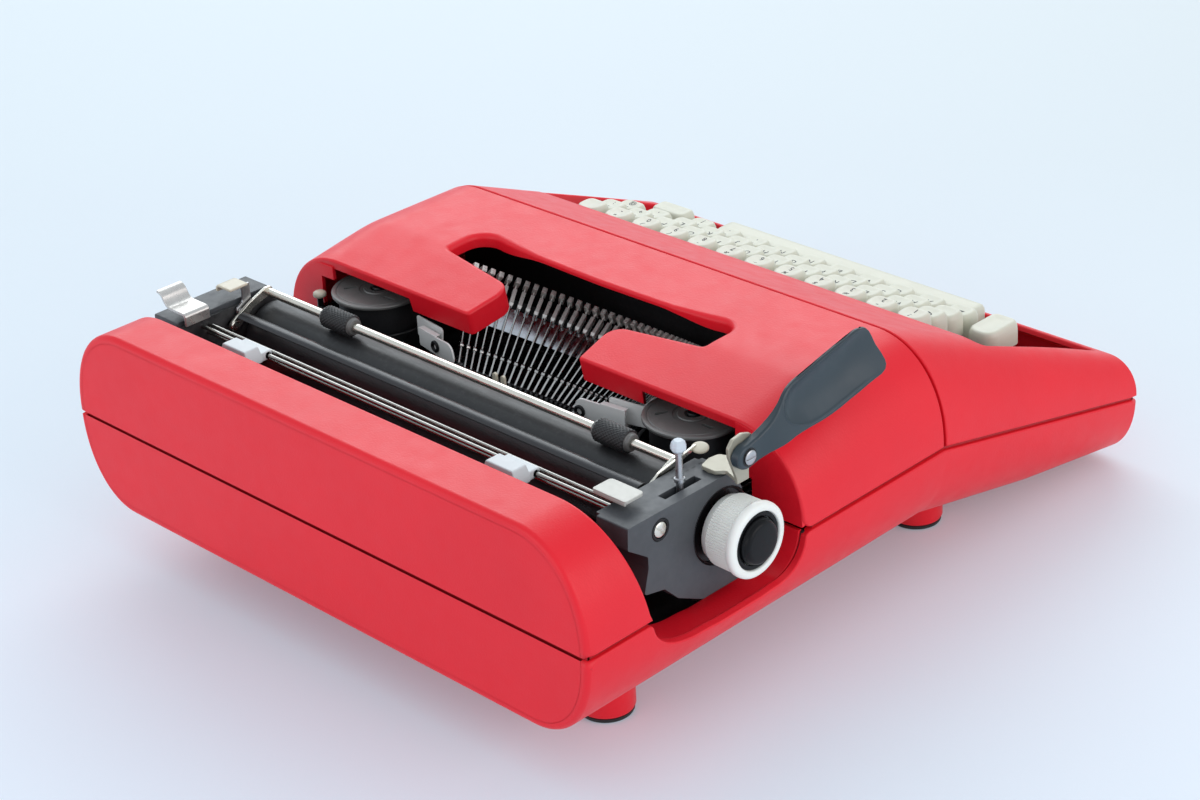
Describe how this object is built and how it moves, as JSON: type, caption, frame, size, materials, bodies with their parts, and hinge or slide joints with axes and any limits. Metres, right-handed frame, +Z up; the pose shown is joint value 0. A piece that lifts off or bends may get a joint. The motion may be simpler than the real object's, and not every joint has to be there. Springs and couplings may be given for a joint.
{
  "type": "manual typewriter",
  "caption": "Low manual desk typewriter with sliding carriage, hinged ribbon cover, keyboard and swinging type, standing on feet.",
  "frame": {"origin": "on the floor under the middle of the machine's box", "axes": "+X to the typist's right, +Y from the typist to the rear of the machine, +Z up"},
  "size_m": [0.3472, 0.385, 0.1535],
  "materials": {
    "casing_red": "moulded red plastic, satin with a fine grain",
    "ivory_key": "moulded ivory plastic, satin top",
    "white_knob": "moulded white plastic, ribbed",
    "slate": "slate grey moulded plastic, fine grain",
    "black_paint": "black enamel on sheet steel",
    "black_plastic": "black moulded plastic",
    "rubber_black": "ground black rubber",
    "foot_rubber": "soft black rubber",
    "nickel": "bright nickel plate",
    "steel": "plain steel, brushed",
    "spool_grey": "grey anodised sheet",
    "cream": "cream plastic"
  },
  "bodies": {
    "body": {"bottom_shell": "casing_red", "rear_cover": "casing_red", "keyboard_surround": "casing_red", "feet": "casing_red", "foot_pads": "foot_rubber", "base_frame": "black_paint", "carriage_rail": "steel", "type_segment": "steel", "typebars": "steel", "type_rest": "black_plastic", "spool_cups": "black_plastic", "ribbon_guides": "nickel", "fulcrum_rod": "steel", "shell_screws": "nickel", "hinge_pins": "steel"},
    "cover": {"top_cover": "casing_red"},
    "spool_left": {"ribbon_spool_left": "spool_grey"},
    "spool_right": {"ribbon_spool_right": "spool_grey"},
    "vibrator": {"ribbon_vibrator": "cream"},
    "switch": {"ribbon_switch": "cream"},
    "typebar": {"strike_typebar": "steel"},
    "letter_key": {"strike_key": "ivory_key"},
    "row_1": {"key_row_1": "ivory_key", "key_levers_1": "steel"},
    "row_2": {"key_row_2": "ivory_key", "key_levers_2": "steel"},
    "row_3": {"key_row_3": "ivory_key", "key_levers_3": "steel"},
    "row_4": {"key_row_4": "ivory_key", "key_levers_4": "steel"},
    "space": {"space_bar": "ivory_key"},
    "shift_l": {"shift_key_left": "ivory_key"},
    "shift_r": {"shift_key_right": "ivory_key"},
    "lock": {"shift_lock_key": "ivory_key"},
    "backspace": {"backspace_key": "ivory_key"},
    "drum": {"spring_drum": "steel"},
    "carriage": {"carriage_frame": "black_paint", "end_cap_left": "slate", "end_cap_right": "slate", "paper_table": "black_paint", "margin_rail": "nickel"},
    "platen": {"platen": "rubber_black", "platen_core": "steel", "platen_knob": "white_knob"},
    "button": {"knob_button": "black_plastic"},
    "feed": {"feed_rollers": "rubber_black"},
    "stop_l": {"margin_stop_left": "white_knob"},
    "stop_r": {"margin_stop_right": "white_knob"},
    "bail": {"paper_bail": "nickel"},
    "bail_l": {"bail_roller_left": "rubber_black"},
    "bail_r": {"bail_roller_right": "rubber_black"},
    "lever": {"return_arm": "nickel", "return_handle": "slate", "lever_screw": "nickel"},
    "selector": {"line_space_selector": "nickel"},
    "ratchet": {"ratchet_release": "nickel"},
    "paper_rel": {"paper_release": "cream"},
    "release_l": {"carriage_release_left": "cream"},
    "release_r": {"carriage_release_right": "nickel"}
  },
  "joints": [
    {"name": "cover_hinge", "type": "hinge", "parent": "body", "child": "cover", "pos_m": [0.0036, 0.0545, 0.08], "axis": [-1, 0, 0], "range_deg": [0, 20]},
    {"name": "carriage_slide", "type": "slide", "parent": "body", "child": "carriage", "axis": [-1, 0, 0], "range_m": [-0.11, 0.11]},
    {"name": "platen_turn", "type": "hinge", "parent": "carriage", "child": "platen", "pos_m": [0.0036, 0.0945, 0.086], "axis": [1, 0, 0], "continuous": true},
    {"name": "knob_button_press", "type": "slide", "parent": "platen", "child": "button", "axis": [1, 0, 0], "range_m": [0, 0.0025], "stiffness_N_per_m": 600, "springref_m": -0.002},
    {"name": "feed_turn", "type": "hinge", "parent": "carriage", "child": "feed", "pos_m": [0.0036, 0.0808, 0.0697], "axis": [1, 0, 0], "continuous": true},
    {"name": "bail_swing", "type": "hinge", "parent": "carriage", "child": "bail", "pos_m": [0.0036, 0.1185, 0.099], "axis": [-1, 0, 0], "range_deg": [0, 40]},
    {"name": "bail_roller_left_turn", "type": "hinge", "parent": "bail", "child": "bail_l", "pos_m": [-0.0904, 0.0959, 0.109], "axis": [1, 0, 0], "continuous": true},
    {"name": "bail_roller_right_turn", "type": "hinge", "parent": "bail", "child": "bail_r", "pos_m": [0.0906, 0.0959, 0.109], "axis": [1, 0, 0], "continuous": true},
    {"name": "return_lever_swing", "type": "hinge", "parent": "carriage", "child": "lever", "pos_m": [-0.1434, 0.0915, 0.11], "axis": [0, 0, 1], "range_deg": [0, 25], "stiffness_Nm_per_rad": 0.4, "springref_deg": -17.19},
    {"name": "selector_shift", "type": "slide", "parent": "carriage", "child": "selector", "axis": [0, -1, 0], "range_m": [0, 0.008]},
    {"name": "ratchet_release_lift", "type": "hinge", "parent": "carriage", "child": "ratchet", "pos_m": [0.0036, 0.1125, 0.104], "axis": [-1, 0, 0], "range_deg": [0, 18]},
    {"name": "paper_release_pull", "type": "hinge", "parent": "carriage", "child": "paper_rel", "pos_m": [0.0036, 0.1125, 0.104], "axis": [1, 0, 0], "range_deg": [0, 25]},
    {"name": "carriage_release_left_press", "type": "slide", "parent": "carriage", "child": "release_l", "axis": [0, 0, -1], "range_m": [0, 0.0025], "stiffness_N_per_m": 800, "springref_m": -0.002},
    {"name": "carriage_release_right_press", "type": "slide", "parent": "carriage", "child": "release_r", "axis": [0, 0, -1], "range_m": [0, 0.0025], "stiffness_N_per_m": 800, "springref_m": -0.002},
    {"name": "margin_stop_left_slide", "type": "slide", "parent": "carriage", "child": "stop_l", "axis": [1, 0, 0], "range_m": [-0.041, 0.045]},
    {"name": "margin_stop_right_slide", "type": "slide", "parent": "carriage", "child": "stop_r", "axis": [1, 0, 0], "range_m": [-0.052, 0.026]},
    {"name": "key_row_1_press", "type": "hinge", "parent": "body", "child": "row_1", "pos_m": [0.0036, 0.1305, 0.0445], "axis": [1, 0, 0], "range_deg": [0, 2.45], "stiffness_Nm_per_rad": 8, "springref_deg": -6.88},
    {"name": "key_row_2_press", "type": "hinge", "parent": "body", "child": "row_2", "pos_m": [0.0036, 0.1305, 0.0445], "axis": [1, 0, 0], "range_deg": [0, 2.3], "stiffness_Nm_per_rad": 8, "springref_deg": -8.02},
    {"name": "key_row_3_press", "type": "hinge", "parent": "body", "child": "row_3", "pos_m": [0.0036, 0.1305, 0.0445], "axis": [1, 0, 0], "range_deg": [0, 2.15], "stiffness_Nm_per_rad": 8, "springref_deg": -8.02},
    {"name": "key_row_4_press", "type": "hinge", "parent": "body", "child": "row_4", "pos_m": [0.0036, 0.1305, 0.0445], "axis": [1, 0, 0], "range_deg": [0, 2], "stiffness_Nm_per_rad": 8, "springref_deg": -8.02},
    {"name": "letter_key_press", "type": "hinge", "parent": "body", "child": "letter_key", "pos_m": [0.0036, 0.1305, 0.0445], "axis": [1, 0, 0], "range_deg": [0, 2.15], "stiffness_Nm_per_rad": 1.6, "springref_deg": -5.73},
    {"name": "space_bar_press", "type": "hinge", "parent": "body", "child": "space", "pos_m": [0.0036, 0.1305, 0.0445], "axis": [1, 0, 0], "range_deg": [0, 1.2], "stiffness_Nm_per_rad": 3, "springref_deg": -8.02},
    {"name": "shift_left_press", "type": "hinge", "parent": "body", "child": "shift_l", "pos_m": [0.0036, 0.1305, 0.0445], "axis": [1, 0, 0], "range_deg": [0, 1.6], "stiffness_Nm_per_rad": 2, "springref_deg": -6.88},
    {"name": "shift_right_press", "type": "hinge", "parent": "body", "child": "shift_r", "pos_m": [0.0036, 0.1305, 0.0445], "axis": [1, 0, 0], "range_deg": [0, 1.6], "stiffness_Nm_per_rad": 2, "springref_deg": -6.88},
    {"name": "shift_lock_press", "type": "hinge", "parent": "body", "child": "lock", "pos_m": [0.0036, 0.1305, 0.0445], "axis": [1, 0, 0], "range_deg": [0, 1.6], "stiffness_Nm_per_rad": 1.6, "springref_deg": -5.73},
    {"name": "backspace_press", "type": "hinge", "parent": "body", "child": "backspace", "pos_m": [0.0036, 0.1305, 0.0445], "axis": [1, 0, 0], "range_deg": [0, 2.2], "stiffness_Nm_per_rad": 1.6, "springref_deg": -5.73},
    {"name": "typebar_swing", "type": "hinge", "parent": "body", "child": "typebar", "pos_m": [0.0076, 0.02536, 0.05691], "axis": [-1, 0, 0], "range_deg": [0, 119]},
    {"name": "spool_left_turn", "type": "hinge", "parent": "body", "child": "spool_left", "pos_m": [-0.0944, 0.0505, 0.093], "axis": [0, 0, 1], "continuous": true},
    {"name": "spool_right_turn", "type": "hinge", "parent": "body", "child": "spool_right", "pos_m": [0.1156, 0.0505, 0.093], "axis": [0, 0, 1], "continuous": true},
    {"name": "vibrator_lift", "type": "slide", "parent": "body", "child": "vibrator", "axis": [0, 0, 1], "range_m": [0, 0.009]},
    {"name": "ribbon_switch_slide", "type": "slide", "parent": "body", "child": "switch", "axis": [0, 1, 0], "range_m": [0, 0.004]},
    {"name": "drum_turn", "type": "hinge", "parent": "body", "child": "drum", "pos_m": [0.1386, 0.1125, 0.043], "axis": [0, 0, 1], "range_deg": [-720, 720]}
  ],
  "couplings": [
    {"joint": "feed_turn", "follows": "platen_turn", "ratio": -4.25},
    {"joint": "typebar_swing", "follows": "letter_key_press", "ratio": 55.34},
    {"joint": "shift_right_press", "follows": "shift_left_press", "ratio": 1},
    {"joint": "spool_right_turn", "follows": "spool_left_turn", "ratio": 1},
    {"joint": "drum_turn", "follows": "carriage_slide", "rad_per_m": 111.11}
  ]
}
